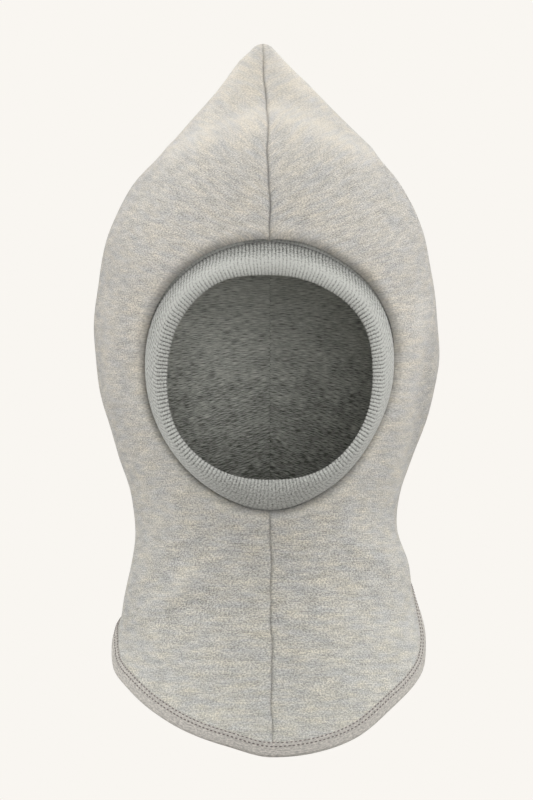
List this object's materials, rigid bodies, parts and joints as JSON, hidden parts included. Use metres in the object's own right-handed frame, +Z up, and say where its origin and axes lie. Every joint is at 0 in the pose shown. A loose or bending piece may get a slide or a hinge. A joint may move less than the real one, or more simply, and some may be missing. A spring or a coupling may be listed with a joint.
{
  "type": "wool hood",
  "caption": "Child's pointed wool hood with a round face opening, a ribbed cuff, a jersey lining and a long bib that covers the neck and ends in a folded hem.",
  "frame": {"origin": "where the crown of the wearer's head sits inside the hood, on the head's upright axis", "axes": "+Z up, the face looks along -Y, +X is the viewer's right when the face looks at the viewer"},
  "size_m": [0.1728, 0.1776, 0.3518],
  "materials": {
    "fleece": "brushed wool fleece, mottled beige and blue-grey",
    "lining": "brushed jersey, dark grey",
    "rib": "fine rib knit, light grey",
    "binding": "folded jersey strip, warm grey"
  },
  "bodies": {
    "root": {"outer_panel_left": "fleece", "outer_panel_right": "fleece", "lining_left": "lining", "lining_right": "lining", "face_rib": "rib", "hem_strip": "binding"}
  },
  "joints": []
}
